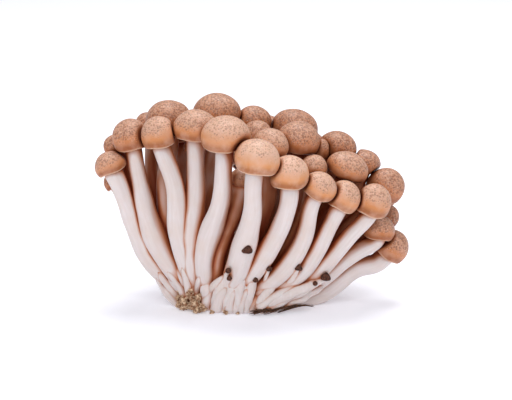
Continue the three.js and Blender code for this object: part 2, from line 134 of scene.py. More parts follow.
# From the front of the bunch to the back: a cap gives way to those before it.
MUSHROOMS = [
    Mushroom((0.4, -33, 69.2), 18.4, 12.6, (9, 8), (-12, -13, 6), stout=1.25,
             via=((-7.6, -18, 19), (-4.8, -23, 31), (-1, -27, 46))),
    Mushroom((13.5, -27, 61.5), 16.4, 12.2, (-2, 8), (-9, -13, 8),
             via=((-2, -17, 17), (4.5, -20.5, 27.5), (10.5, -23, 39))),
    Mushroom((26, -22, 55), 14.6, 10, (25, 8), (-3, -12, 7),
             via=((6, -15, 13), (15, -18, 23), (21, -20, 35.5))),
    Mushroom((36, -17, 49.5), 13.8, 11.5, (24, 6), (2, -11, 6),
             via=((12.5, -13, 12), (22, -15, 20.5), (28.5, -16, 33.5))),
    Mushroom((48.5, -13, 46.4), 14.6, 12.8, (16, 4), (8, -10, 5), neck=0.3,
             via=((18.5, -10.5, 11), (28.5, -11, 19.5), (37.5, -12, 31))),
    Mushroom((-12.2, -25, 76.8), 20.6, 13.2, (5, 6), (-19, -11, 6), stout=1.15,
             via=((-22, -14, 23), (-18.4, -18, 36), (-13.8, -21, 50))),
    Mushroom((-25, -12, 78), 18.4, 11.6, (0, 4), (-23, -8, 6), stout=1.4,
             via=((-28.2, -10, 23), (-27.2, -11.5, 35), (-25, -12, 49))),
    Mushroom((-40, -12, 75), 15.2, 12, (-14, 4), (-24, -8, 6), stout=1.1,
             via=((-28, -10, 18), (-33, -13, 38), (-32.5, -14.5, 53))),
    Mushroom((-51.8, -6, 72.5), 15.6, 12.4, (-9, 0), (-25, -4, 6), stout=1.35,
             via=((-36, -5, 19), (-43.5, -6, 33), (-47, -6, 47))),
    Mushroom((-60.5, -8, 61.5), 13.6, 8.8, (-25, -4), (-27, -1, 6), stout=1.2,
             via=((-38.5, -1, 13), (-47.5, -3, 26.5), (-53, -5, 42))),
    Mushroom((51.5, -2, 32.6), 13.8, 9.4, (12, 4), (12, -7, 4.5), neck=0.35,
             via=((23, -6, 9.5), (32, -5.5, 16.5), (40, -5, 23))),
    Mushroom((57, 4, 23.2), 15.2, 12, (38, 0), (14, -3, 4.5), stem=8.2,
             via=((26, -2, 4.6), (34.5, 0, 9.6), (42.5, 1.5, 16))),
    Mushroom((6, -14, 71.2), 15.4, 10.4, (14, 4), (-9, -8, 6),
             via=((-6, -9, 22), (1.6, -11, 38), (5.4, -12, 52))),
    Mushroom((-6.2, -13, 57), 9.8, 6.4, (4, 6), (-16, -10, 6),
             via=((-17.5, -12, 20), (-14.5, -12.5, 31), (-9.5, -13, 41))),
    Mushroom((24, -11, 61), 11, 8.4, (10, 6), (0, -6, 6), stem=5.6,
             via=((9, -9, 18), (17, -10, 32), (21.5, -11, 46))),
    Mushroom((38, -5, 59.5), 18, 10.6, (20, 0), (4, -5, 6),
             via=((16, -5, 18), (27, -5, 34), (32.5, -5, 47))),
    Mushroom((17.7, -2, 70.7), 18.2, 12.4, (11, 0), (-3, -4, 6),
             via=((5, -3, 20), (11, -2, 35), (14.5, -2, 52))),
    Mushroom((0.5, -1, 72.8), 12.8, 9.4, (2, 0), (-10, -3, 6)),
    Mushroom((27.4, 2.8, 65.2), 6.4, 8, (4, 0), (2, -1, 6), stem=3.6),
    Mushroom((-58.7, 1.5, 67.6), 10, 7.6, (-16, 0), (-26, 1, 6), stem=5.4),
    Mushroom((54.5, 5, 49.3), 16, 12.6, (30, -2), (10, 0, 5.5),
             via=((21, 1, 13), (33, 4.5, 25), (42.5, 6, 36))),
    Mushroom((-37, 7, 78), 19.2, 12.2, (-5, -4), (-24, -1, 6),
             via=((-31.5, -3, 20), (-37, -3, 37), (-38, -1, 54))),
    Mushroom((-16.5, 8, 80.7), 20, 12.4, (0, -2), (-18, -1, 6),
             via=((-22, 0, 24), (-21, 3, 42), (-18.5, 6, 60))),
    Mushroom((-27, 4, 66.8), 6.6, 4.6, (-4, 0), (-21, -1, 6), stem=3.6),
    Mushroom((-1, 13, 76), 15, 10, (4, -6), (-9, 3, 6)),
    Mushroom((16.2, 16, 72.3), 20, 12.6, (10, -8), (-2, 6, 6)),
    Mushroom((34.5, 10, 65.2), 16.4, 10.6, (18, -6), (5, 4, 6)),
    Mushroom((46, 9, 58.3), 14.6, 9.2, (24, -6), (10, 5, 5.5)),
    Mushroom((55.8, 10.5, 35.1), 10.4, 8, (30, -4), (14, 3, 5), stem=5,
             via=((29, 7.5, 13), (41.5, 10, 23))),
    Mushroom((-46, 16, 73.5), 11, 8.6, (-14, -8), (-24, 4, 6), stem=5.8,
             via=((-33, 4, 22), (-41, 6, 40), (-44.5, 9, 56))),
    Mushroom((-41.3, 17, 55.6), 9, 8, (-8, -6), (-22, 6, 6), stem=4.6),
    Mushroom((-60, 6, 51), 8.4, 6.8, (-28, -4), (-27, 3, 5), stem=4.6),
    Mushroom((-56, 20, 54.5), 13, 9.4, (-26, -14), (-24, 8, 5)),
    Mushroom((-33, 26, 67), 17, 11, (-12, -16), (-19, 9, 6)),
    Mushroom((-15, 28, 70), 18, 11.6, (-4, -18), (-12, 11, 6)),
    Mushroom((4, 30, 68), 17, 11.2, (4, -20), (-5, 12, 6)),
    Mushroom((22.5, 32, 61), 16.4, 10.6, (14, -20), (2, 12, 6)),
    Mushroom((38, 26, 54), 17, 11, (24, -16), (8, 10, 5.5)),
    Mushroom((52.5, 20.5, 42.2), 15, 10, (30, -10), (13, 8, 5)),
    Mushroom((-44, 34, 47), 14, 9.4, (-24, -28), (-18, 13, 5)),
    Mushroom((-24, 40, 55), 15.4, 10, (-10, -32), (-11, 15, 5)),
    Mushroom((-4, 42, 53), 14.8, 9.8, (2, -34), (-4, 16, 5)),
    Mushroom((16, 43, 46), 14, 9.6, (12, -36), (3, 15, 5)),
    Mushroom((37, 38, 37), 14.4, 9.8, (28, -34), (9, 13, 5)),
]

# The shared base as lumps: middle, then half sizes.
BASE_LUMPS = [
    ((-15, 1, 2), (14, 14, 10)),
    ((0, 2, 1), (19, 16, 9)),
    ((15, 3, 0), (15, 9, 6.5)),
]

# Short fingers and strands that never grew a cap: width, then the points from root to tip.
FINGERS = [
    (6.5, ((-24, 2, 4), (-36, 4, 12), (-46.5, 6, 22))),
    (5.5, ((-20, -4, 2), (-29, -7, 6), (-37, -6, 15))),
    (5, ((-21, -12, 0.5), (-20.6, -13.6, 7), (-21, -13.8, 14), (-21.8, -14, 22))),
    (4.2, ((-16.5, -14.5, 0.5), (-16.4, -16.5, 6), (-14.6, -18.4, 12), (-12.6, -19.4, 17))),
    (4.8, ((-12.5, -15.5, 0.5), (-12, -17, 6), (-10, -18, 12), (-8.2, -18, 21))),
    (4.8, ((-8.5, -15.5, 0.5), (-8, -17.6, 6), (-6.8, -18.4, 12), (-6, -18.4, 21))),
    (4.6, ((-4.5, -15.5, 0.5), (-3.4, -17.6, 6), (-2, -17.6, 12), (-0.4, -17.4, 20))),
    (4.2, ((-1, -15.5, 0.5), (1.6, -17.4, 5.5), (4.8, -17, 10), (10, -16, 16.5))),
    (4.4, ((1, -15.5, 0.6), (5, -17.5, 4.5), (12, -17, 8), (21, -15.6, 11), (28, -13.6, 14))),
    (4, ((6, -14, 0.8), (14, -13.6, 3.5), (22, -12, 7), (28, -8.5, 10))),
    (3.6, ((-24, -4, 0.8), (-31, -5, 4.5), (-37, -4, 10), (-46, -2.6, 23))),
    (3.4, ((-24, -7, 0.8), (-29, -8.5, 5.5), (-34, -6.6, 12), (-41, -5.6, 27))),
    (3.4, ((-22, -9, 0.8), (-25.5, -11, 6), (-28.4, -10.4, 12), (-32, -11.6, 30))),
]

# Narrow ridges of flesh on the front of the foot: width, then (right, up) points, from root to tip.
RIDGES = [
    (5, ((-22, -0.8), (-19.3, 9), (-14.7, 15), (-11.4, 19))),
    (5, ((-17, -0.8), (-15.4, 7.7), (-12.7, 12.4), (-9.6, 15.8))),
    (5, ((-12, -0.8), (-10.9, 6.7), (-9, 11.4), (-6.2, 15))),
    (5.2, ((-7, -0.8), (-5.6, 6.7), (-3.3, 11.4), (-0.4, 14.6))),
    (4.8, ((-2.4, -0.8), (-0.4, 6.7), (2.6, 10.5), (6.6, 14))),
    (4, ((-25.6, -0.8), (-24.9, 7.7), (-23.4, 13.3), (-22.4, 20))),
    (3.8, ((0.8, 3), (6.2, 7), (12.6, 10.2), (18.6, 13.8))),
    (3.6, ((1.7, 1.4), (8, 3.6), (16.2, 6.8), (24.5, 11.4))),
    (3.8, ((-26.6, -0.8), (-27.9, 9.5), (-29.3, 16.1), (-31.4, 23))),
    (4.2, ((-29.3, -0.8), (-34.8, 6.7), (-39.2, 12.3), (-42.6, 18.6))),
    (3.8, ((-28.4, 1), (-31.6, 9.5), (-35.2, 14.7), (-38.8, 20))),
    (3.6, ((-27.5, 1), (-29.3, 10.9), (-32.5, 16.6), (-35.2, 22.6))),
    (3.8, ((-30.7, -0.8), (-36.4, 4.6), (-40.4, 9.6), (-42.9, 15))),
]

# Stunted dark heads: middle of the flat underside, width, and the points of the short stalk.
PINHEADS = [
    ((-3.7, -25.4, 30), 4.6, ((-8, -18, 14), (-7, -22, 20), (-4.4, -24.6, 27))),
    ((-11.4, -23.4, 20.6), 2.6, ((-13.4, -14, 10), (-12.8, -18.6, 15.6))),
    ((-0.2, -19.6, 15.6), 2.4, ((-3, -14, 6), (-1.5, -17, 11))),
    ((5.4, -20.4, 20.6), 2.6, ((2, -15, 10), (4, -18, 16))),
    ((17.6, -19.6, 20.6), 3.2, ((11, -14, 9), (15, -17.5, 16))),
    ((29, -14, 15.2), 4.2, ((6, -13, 4.5), (16, -13.5, 8), (25, -13.8, 12.4))),
    ((24.6, -15.6, 13), 2.2, ((17, -12, 6), (22, -14, 10))),
    ((-11, -22.6, 17), 2.2, ((-12.6, -15, 7), (-12.2, -19, 12.6))),
]

# Crumbs of the bed stuck to the left front of the foot and along its edge: middle, then half size.
CRUMBS = [
    (-28.6, -11, 3.4, 3.4), (-25.4, -14, 3.6, 3.3), (-31.4, -8.4, 5.2, 2.6), (-30, -12, 1.8, 2.4),
    (-22.8, -15.2, 2.2, 2.4), (-27.4, -12.6, 7.4, 2.4), (-24, -14.8, 6.6, 2), (-32, -10, 2.4, 1.9),
    (-25, -16.6, 1.3, 1.7), (-18.4, -17, 0.9, 1.2), (-12.6, -18.4, 0.9, 1.3), (-7.6, -18.2, 0.8, 1),
]

# Dark shreds of the bed along the lower right edge: width, then points.
SHREDS = [
    (2.2, ((-2, -19.5, 1.2), (1.5, -20, 2), (5, -19.4, 2.4), (8, -18, 2))),
    (1.3, ((3, -20, 0.9), (8, -18.6, 2.4), (13, -16.8, 3), (19, -14.6, 3))),
    (1.3, ((9, -18, 1), (15, -15.8, 2.4), (20, -13.6, 3), (24, -12, 2))),
]


# Small helpers.

def linear(hex_colour):
    """An sRGB hex colour as linear red, green, blue and alpha."""
    channels = [int(hex_colour[i:i + 2], 16) / 255 for i in (1, 3, 5)]
    return tuple(c / 12.92 if c <= 0.04045 else ((c + 0.055) / 1.055) ** 2.4 for c in channels) + (1.0,)


def inside(point):
    """The nearest place within the box of the solids."""
    return Vector([min(max(n, low), high) for n, low, high in zip(point, *CAD_BOX)])


def smooth(low, high, value):
    share = min(1, max(0, (value - low) / (high - low)))
    return share * share * (3 - 2 * share)


def deselect_all():
    if bpy.context.object and bpy.context.object.mode != "OBJECT":
        bpy.ops.object.mode_set(mode="OBJECT")
    bpy.ops.object.select_all(action="DESELECT")


def make_active(piece):
    deselect_all()
    piece.select_set(True)
    bpy.context.view_layer.objects.active = piece


def join_pieces(pieces, name):
    make_active(pieces[0])
    for piece in pieces[1:]:
        piece.select_set(True)
    bpy.ops.object.join()
    whole = bpy.context.object
    whole.name = name
    whole.data.name = name
    return whole


def copy_of(template, name):
    piece = template.copy()
    piece.data = template.data.copy()
    piece.name = name
    piece.data.name = name
    bpy.context.collection.objects.link(piece)
    return piece


def discard(piece):
    mesh = piece.data
    bpy.data.objects.remove(piece)
    bpy.data.meshes.remove(mesh)


def dress(piece, material, slot, *nodes):
    """Gives a finished piece its material and ties it to the frame."""
    piece.data.materials.clear()
    piece.data.materials.append(material)
    # Each piece starts with no painted shade; the painted shade step fills it in once every piece is made.
    set_attribute(piece, "shelter", [0.0] * len(piece.data.vertices))
    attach(piece, BODY)
    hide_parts(*nodes)


def set_attribute(piece, name, values, kind="FLOAT"):
    attribute = piece.data.attributes.get(name) or piece.data.attributes.new(name, kind, "POINT")
    if kind == "FLOAT":
        attribute.data.foreach_set("value", values)
    else:
        attribute.data.foreach_set("vector", [n for value in values for n in value])


# The layout: what the caps and stems share with the solids.

def axis_of(mushroom):
    right, front = (math.tan(math.radians(angle)) for angle in mushroom.lean)
    return Vector((right, -front, 1)).normalized()


def reach_of(mushroom, direction):
    """How far a cap reaches from its middle in a direction."""
    along = direction.dot(axis_of(mushroom))
    across = math.sqrt(max(0, 1 - along * along))
    radius = mushroom.width / 2
    crown = mushroom.height * CROWN_SHARE
    margin = mushroom.height - crown
    dome = math.hypot(radius * across, (crown if along > 0 else margin) * along)
    lip = LIP_REACH * radius * across - margin * along
    return max(dome, lip)


def contact_planes(index):
    """The planes that a cap may not cross, one for each cap before it in the list."""
    middle = Vector(MUSHROOMS[index].middle)
    planes = []
    for other in MUSHROOMS[:index]:
        towards = (Vector(other.middle) - middle).normalized()
        limit = towards.dot(Vector(other.middle)) - reach_of(other, -towards) - PRESS_GAP
        planes.append((towards, limit))
    return planes


def press(point, planes):
    """Pushes a point back behind every contact plane, softly, so that a pressed cap has round edges."""
    for towards, limit in planes:
        over = towards.dot(point) - limit
        if over > PRESS_SOFTNESS:
            point = point - towards * over
        elif over > -PRESS_SOFTNESS:
            point = point - towards * (over + PRESS_SOFTNESS) ** 2 / (4 * PRESS_SOFTNESS)
    return point


class Route:
    """A smooth curve through points, read by the share of its length."""

    STEPS = 24
    SOFTENING = 200

    def __init__(self, points):
        knots = [Vector(point) for point in points]
        knots = [2 * knots[0] - knots[1], *knots, 2 * knots[-1] - knots[-2]]
        self.places = [knots[1]]
        for a, b, c, d in zip(knots, knots[1:], knots[2:], knots[3:]):
            for step in range(1, self.STEPS + 1):
                self.places.append(self.between(a, b, c, d, step / self.STEPS))
        self.soften()
        self.lengths = [0]
        for one, two in zip(self.places, self.places[1:]):
            self.lengths.append(self.lengths[-1] + (two - one).length)

    def soften(self):
        """Eases the curve between its two ends, so that it passes near its points without a kink."""
        places = np.array([tuple(place) for place in self.places])
        for _ in range(self.SOFTENING):
            places[1:-1] = places[1:-1] / 2 + (places[:-2] + places[2:]) / 4
        self.places = [Vector(place) for place in places.tolist()]

    @staticmethod
    def between(a, b, c, d, share):
        """A centripetal curve from b to c, with a and d as its neighbours."""
        first, middle, last = (math.sqrt((two - one).length) for one, two in ((a, b), (b, c), (c, d)))
        leave = ((b - a) / first - (c - a) / (first + middle) + (c - b) / middle) * middle
        arrive = ((c - b) / middle - (d - b) / (middle + last) + (d - c) / last) * middle
        square, cube = share ** 2, share ** 3
        return (b * (2 * cube - 3 * square + 1) + leave * (cube - 2 * square + share)
                + c * (3 * square - 2 * cube) + arrive * (cube - square))

    @property
    def length(self):
        return self.lengths[-1]

    def at(self, share):
        wanted = min(max(share, 0), 1) * self.length
        index = next((i for i, length in enumerate(self.lengths) if length >= wanted), len(self.lengths) - 1)
        index = max(index, 1)
        before, after = self.lengths[index - 1], self.lengths[index]
        place = self.places[index - 1].lerp(self.places[index], (wanted - before) / max(after - before, 1e-9))
        return place + self.heading(index) * (share * self.length - wanted)

    def heading(self, index):
        return (self.places[index] - self.places[index - 1]).normalized()

    def section(self, share):
        """Place, side and front of the cross section at a share of the length."""
        step = 0.01
        tangent = (self.at(min(share + step, 1)) - self.at(max(share - step, 0))).normalized()
        side = Vector((0, 1, 0)).cross(tangent).normalized()
        return self.at(share), side, tangent.cross(side)


def stem_route(mushroom):
    axis = axis_of(mushroom)
    top = Vector(mushroom.middle) - axis * (mushroom.height * SOCKET_DEPTH + GAP)
    neck = top - axis * mushroom.width * mushroom.neck
    foot = Vector(mushroom.foot)
    via = list(mushroom.via)
    if not via:
        for rise in DEFAULT_RISES:
            spread = 1 - (1 - rise) ** SPREAD_POWER
            point = foot.lerp(neck, spread)
            point.z = foot.z + (neck.z - foot.z) * rise
            via.append(point)
    return Route([foot, *via, neck, top])


def swell_at(share, profile):
    """A profile of (share, size) pairs, read smoothly."""
    for (start, small), (end, large) in zip(profile, profile[1:]):
        if share <= end:
            return small + (large - small) * smooth(start, end, share)
    return profile[-1][1]


# Materials.

def add_node(tree, kind, output, inputs=(), stops=(), **settings):
    """Adds a node with its settings, inputs as values or links, and ramp stops, and gives one output."""
    node = tree.nodes.new("ShaderNode" + kind)
    for name, value in settings.items():
        setattr(node, name, value)
    for name, value in dict(inputs).items():
        if isinstance(value, bpy.types.NodeSocket):
            tree.links.new(value, node.inputs[name])
        else:
            node.inputs[name].default_value = linear(value) if isinstance(value, str) else value
    if stops:
        elements = node.color_ramp.elements
        while len(elements) < len(stops):
            elements.new(0.5)
        for element, (place, colour) in zip(elements, stops):
            element.position = place
            element.color = linear(colour) if isinstance(colour, str) else (colour, colour, colour, 1)
    return node.outputs[output]


def new_material(name, roughness, ior, subsurface=0.0, scatter="#FFFFFF", scatter_mm=1.0):
    material = bpy.data.materials.new(name)
    material.use_nodes = True
    shader = material.node_tree.nodes["Principled BSDF"]
    values = {"Roughness": roughness, "IOR": ior, "Subsurface Weight": subsurface,
              "Subsurface Radius": linear(scatter)[:3], "Subsurface Scale": scatter_mm * MM}
    for socket, value in values.items():
        shader.inputs[socket].default_value = value
    return material, material.node_tree, shader


def finish(tree, shader, colour, height, depth_mm, strength):
    """Gives a material its colour and its relief."""
    relief = add_node(tree, "Bump", "Normal", {
        "Strength": strength, "Distance": depth_mm * MM, "Height": height})
    tree.links.new(colour, shader.inputs["Base Color"])
    tree.links.new(relief, shader.inputs["Normal"])


def amount_of(tree, pattern, low, high, *shares):
    """How much of a laid-over colour shows: a pattern read between two (value, amount) stops, times any
    shares.
    """
    amount = add_node(tree, "ValToRGB", "Color", {"Fac": pattern}, (low, high))
    for share in shares:
        amount = add_node(tree, "Math", "Value", {0: amount, 1: share}, operation="MULTIPLY")
    return amount


def overlaid(tree, colour, overlay, *pattern):
    """Lays a second colour over a colour where its pattern is strong; it gives both the real stains and the
    painted shade.
    """
    amount = amount_of(tree, *pattern)
    return add_node(tree, "Mix", "Result", {"Factor": amount, "A": colour, "B": overlay}, data_type="RGBA")


def shade_painted(tree, colour, warm_shade, deep_shade, start=0.24):
    """Paints shade into a colour: a brown first, then a darker brown, where neighbouring flesh hides the
    surface.
    """
    shelter = add_node(tree, "Attribute", "Fac", attribute_name="shelter")
    colour = overlaid(tree, colour, warm_shade, shelter, (start, 0.0), (start + 0.3, 1.0))
    return overlaid(tree, colour, deep_shade, shelter, (start + 0.23, 0.0), (start + 0.46, 1.0))


def cap_skin_material(colours):
    """Fresh mushroom cuticle: satin, moist skin, tan, with pressed brown specks on the crown."""
    material, tree, shader = new_material("mushroom_cuticle", 0.46, 1.4, 0.1, "#FF9C66", 1.6)
    place = add_node(tree, "TexCoord", "Object")
    fall, tone, speckled, under = [add_node(tree, "Attribute", "Fac", attribute_name=name)
                                   for name in ("fall", "tone", "speckled", "under")]
    # The skin darkens from the crown to a band above the lip, which is cream. This is partly the cap's own
    # colour and partly painted light and shade: the crown lit from above, the band below it in shade.
    skin = add_node(tree, "ValToRGB", "Color", {"Fac": fall}, (
        (0.0, colours.crown), (0.2, colours.crown), (0.46, colours.flank),
        (0.73, colours.band), (0.89, colours.band), (0.97, colours.lip)))
    cloud = add_node(tree, "TexNoise", "Fac", {"Scale": 1 / (4 * MM), "Detail": 4.0, "Vector": place})
    skin = overlaid(tree, skin, colours.flush, cloud, (0.4, 0.0), (0.75, 0.5))
    # Caps further back in the bunch are tinted darker.
    rear_tint = add_node(tree, "Math", "Value", {0: tone, 1: 0.95}, operation="MULTIPLY")
    skin = add_node(tree, "Mix", "Result", {"Factor": rear_tint, "A": skin, "B": colours.rear_tint},
                    data_type="RGBA", blend_type="MULTIPLY")
    # Specks half a millimetre to a millimetre wide, in cells of 0.9 mm, thin out down the flank.
    warp = add_node(tree, "TexNoise", "Color", {"Scale": 1 / (0.7 * MM), "Detail": 2.0, "Vector": place})
    away = add_node(tree, "VectorMath", "Vector", {"Vector": warp, "Scale": 0.55 * MM}, operation="SCALE")
    bent = add_node(tree, "VectorMath", "Vector", {0: place, 1: away}, operation="ADD")
    cells = add_node(tree, "TexVoronoi", "Distance", {
        "Scale": 1 / (0.9 * MM), "Randomness": 0.9, "Vector": bent})
    pick = add_node(tree, "SeparateColor", "Red", {"Color": cells.node.outputs["Color"]})
    size = add_node(tree, "Math", "Value", {0: pick, 1: 0.7}, operation="ADD")
    size = add_node(tree, "Math", "Value", {0: size, 1: speckled}, operation="MULTIPLY")
    size = add_node(tree, "Math", "Value", {0: size, 1: 0.42}, operation="MULTIPLY")
    edge = add_node(tree, "Math", "Value", {0: size, 1: cells}, operation="SUBTRACT")
    edge = add_node(tree, "Math", "Value", {0: edge, 1: 2.4, 2: 0.5}, operation="MULTIPLY_ADD")
    # They are strong on the darker crowns at the back and faint on the pale ones in front.
    bold = add_node(tree, "Math", "Value", {0: tone, 1: 0.3, 2: 0.44}, operation="MULTIPLY_ADD")
    spot = amount_of(tree, edge, (0.32, 0.0), (0.8, 1.0), bold)
    skin = add_node(tree, "Mix", "Result", {"Factor": spot, "A": skin, "B": colours.speck}, data_type="RGBA")
    # Pale flecks lie between them.
    fleck = add_node(tree, "TexNoise", "Fac", {"Scale": 1 / (0.6 * MM), "Detail": 2.0, "Vector": place})
    skin = overlaid(tree, skin, colours.fleck, fleck, (0.5, 0.0), (0.68, 0.42), speckled)
    # A fine mottle joins the specks on the darker crowns.
    mottle = add_node(tree, "TexNoise", "Fac", {"Scale": 1 / (0.8 * MM), "Detail": 3.0, "Vector": place})
    skin = overlaid(tree, skin, colours.mottle, mottle, (0.42, 0.0), (0.7, 0.7), speckled, bold)
    # Painted shade: the skin turns brown and then dark brown where neighbouring caps and stems hide it.
    skin = shade_painted(tree, skin, colours.warm_shade, colours.deep_shade, 0.37)
    # Gills and the inside of the margin are cream, with painted shade where they are hidden.
    gill = shade_painted(tree, colours.gill, colours.warm_shade, colours.deep_shade)
    colour = add_node(tree, "Mix", "Result", {"Factor": under, "A": skin, "B": gill}, data_type="RGBA")
    # The skin is finely grained and the specks lie a little lower.
    grain = add_node(tree, "TexNoise", "Fac", {"Scale": 1 / (0.45 * MM), "Detail": 3.0, "Vector": place})
    sunk = add_node(tree, "Math", "Value", {0: spot, 1: 0.6}, operation="MULTIPLY")
    height = add_node(tree, "Math", "Value", {0: grain, 1: sunk}, operation="SUBTRACT")
    finish(tree, shader, colour, height, 0.12, 0.4)
    return material


def stem_flesh_material(colours):
    """Fresh mushroom stem: matt, nearly white flesh with fine fibres along it and faint pink grey flushes."""
    material, tree, shader = new_material("mushroom_stem_flesh", 0.6, 1.38, 0.12, "#FFB9A0", 2.0)
    fibre = add_node(tree, "Attribute", "Vector", attribute_name="fibre")
    place = add_node(tree, "TexCoord", "Object")
    streak = add_node(tree, "TexNoise", "Fac", {"Scale": 1 / (0.9 * MM), "Detail": 4.0, "Vector": fibre})
    cloud = add_node(tree, "TexNoise", "Fac", {"Scale": 1 / (9 * MM), "Detail": 3.0, "Vector": place})
    flesh = overlaid(tree, colours.flesh, colours.fibre, streak, (0.35, 0.0), (0.7, 0.55))
    flesh = overlaid(tree, flesh, colours.blush, cloud, (0.45, 0.0), (0.75, 0.6))
    # Painted shade: hidden flesh between the stems and under the caps turns brown and then dark brown.
    flesh = shade_painted(tree, flesh, colours.warm_shade, colours.deep_shade)
    finish(tree, shader, flesh, streak, 0.15, 0.45)
    return material


def grained_material(name, dark, light, grain_mm, depth_mm):
    """Dull, dry or damp plant matter: matt, in two mixed tones."""
    material, tree, shader = new_material(name, 0.9, 1.45)
    place = add_node(tree, "TexCoord", "Object")
    grain = add_node(tree, "TexNoise", "Fac", {"Scale": 1 / (grain_mm * MM), "Detail": 5.0, "Vector": place})
    colour = add_node(tree, "ValToRGB", "Color", {"Fac": grain}, ((0.35, dark), (0.65, light)))
    finish(tree, shader, colour, grain, depth_mm, 0.8)
    return material


# Unit shapes, each modelled once.

def unit_cap(sides, gills):
    """A cap of radius 1 with its crown 1 high and its margin 1 deep: a half ball, extruded down and under."""
    deselect_all()
    bpy.ops.mesh.primitive_uv_sphere_add(segments=sides, ring_count=28, radius=1)
    cap = bpy.context.object
    bpy.ops.object.mode_set(mode="EDIT")
    bpy.ops.mesh.select_all(action="SELECT")
    bpy.ops.mesh.bisect(plane_co=(0, 0, 0), plane_no=(0, 0, 1), clear_inner=True, threshold=1e-5)
    # Down the margin, round the lip, and in under the cap to the socket, as (radius, level) pairs.
    margin = [(1 - (1 - ROLLED_LIP) * (1 - math.cos(turn)), -math.sin(turn))
              for turn in (math.radians(angle) for angle in (10, 20, 31, 42, 53, 64, 75, 86))]
    under = [(0.785, -0.99), (0.77, -0.94), (0.76, -0.87), (GILL_EDGE, -0.8), (0.68, -0.72), (0.59, -0.6),
             (0.5, -0.45), (0.42, -0.32), (0.34, -0.2)]
    radius, level = 1.0, 0.0
    for next_radius, next_level in margin + under:
        bpy.ops.mesh.extrude_region_move(TRANSFORM_OT_translate={"value": (0, 0, next_level - level)})
        size = next_radius / radius
        bpy.ops.transform.resize(value=(size, size, 1), center_override=(0, 0, 0))
        radius, level = next_radius, next_level
    bpy.ops.mesh.extrude_region_move(TRANSFORM_OT_translate={"value": (0, 0, 0)})
    bpy.ops.mesh.merge(type="CENTER")
    bpy.ops.mesh.select_all(action="SELECT")
    bpy.ops.mesh.normals_make_consistent(inside=False)
    bpy.ops.object.mode_set(mode="OBJECT")
    # Thin gills hang between the lip and the stem: the flesh between them is lifted.
    inner, outer = GILL_SPAN
    low, high = GILL_RANGE
    for vertex in cap.data.vertices:
        reach = math.hypot(vertex.co.x, vertex.co.y)
        if inner < reach < outer and low < vertex.co.z < high:
            spoke = math.atan2(vertex.co.y, vertex.co.x) / math.tau * gills
            hollow = 0.5 - 0.5 * math.cos(spoke * math.tau)
            vertex.co.z += GILL_RELIEF * hollow * (1 - smooth(GILL_FADE, outer, reach))
    bpy.ops.object.shade_smooth()
    return cap


def unit_tube(sides, rings, name):
    """A tube of radius 1 and length 1, a disc extruded ring by ring, closed at both ends."""
    deselect_all()
    bpy.ops.mesh.primitive_circle_add(vertices=sides, radius=1, fill_type="TRIFAN")
    tube = bpy.context.object
    tube.name = name
    bpy.ops.object.mode_set(mode="EDIT")
    bpy.ops.mesh.select_all(action="SELECT")
    for _ in range(rings):
        bpy.ops.mesh.extrude_region_move(TRANSFORM_OT_translate={"value": (0, 0, 1 / rings)})
    bpy.ops.mesh.select_all(action="SELECT")
    bpy.ops.mesh.normals_make_consistent(inside=False)
    bpy.ops.object.mode_set(mode="OBJECT")
    bpy.ops.object.shade_smooth()
    return tube


def bend_tube(tube, route, half, profile, draw, rough=0.035, oval=0.05):
    """Bends a unit tube along a route, with its swelling, an oval section and shallow ribs."""
    turn, offset = draw.uniform(0, math.tau), draw.uniform(0, 50)
    fibres = []
    sections = {}
    for vertex in tube.data.vertices:
        share = vertex.co.z
        key = round(share, 5)
        if key not in sections:
            sections[key] = (*route.section(share), swell_at(share, profile) * half)
        place, side, front, size = sections[key]
        reach = math.hypot(vertex.co.x, vertex.co.y)
        angle = math.atan2(vertex.co.y, vertex.co.x)
        right, ahead = math.cos(angle), math.sin(angle)
        along = share * route.length
        wave = Vector((right, ahead, offset + along * WAVE_PITCH))
        rib = Vector((RIBS_ROUND * right, RIBS_ROUND * ahead, offset + along * RIB_PITCH))
        out = 1 + oval * math.cos(2 * (angle - turn))
        out += rough * WAVE_HEIGHT * noise.noise(wave) + rough * noise.noise(rib)
        spot = place + (side * right + front * ahead) * reach * size * out
        fibres.append((size * right * MM, size * ahead * MM, (along * FIBRE_PITCH + offset) * MM))
        vertex.co = inside(spot * MM)
    set_attribute(tube, "fibre", fibres, "FLOAT_VECTOR")


# Settings that a user may change.

def colour_of(name, description, default):
    return bpy.props.StringProperty(name=name, description=description, default=default)


def count_of(name, description, default):
    return bpy.props.IntProperty(name=name, description=description, default=default, min=12, max=240)


class CapSettings(bpy.types.PropertyGroup):
    sides: count_of("Sides", "Faces round each cap", 112)
    gills: count_of("Gills", "Gills under each cap", 56)
    # Crown to lip, these colours hold painted light and shade as well as the cap's own tan: lighter on top,
    # darker in the band.
    crown: colour_of("Crown", "Colour of the crown", "#E2B69C")
    flank: colour_of("Flank", "Colour of the flank", "#DC9660")
    band: colour_of("Band", "Colour above the margin", "#AA683C")
    lip: colour_of("Lip", "Colour of the margin", "#E4C4A8")
    gill: colour_of("Gill", "Colour of the gills", "#E2D0C0")
    speck: colour_of("Speck", "Colour of the specks", "#7C4E3A")
    mottle: colour_of("Mottle", "Colour between the specks of dark crowns", "#A9755A")
    fleck: colour_of("Fleck", "Colour of the pale flecks between the specks", "#F0CDB8")
    flush: colour_of("Flush", "Colour of the paler clouds", "#E8C0AA")
    # A tint that darkens the caps towards the back of the bunch.
    rear_tint: colour_of("Aged", "Tint of the older caps", "#DCC2B2")
    # Painted shade colours for hidden skin and gills.
    warm_shade: colour_of("Warm", "Colour of sheltered skin", "#A4633C")
    deep_shade: colour_of("Deep", "Colour of deeply sheltered skin", "#5A1E0C")


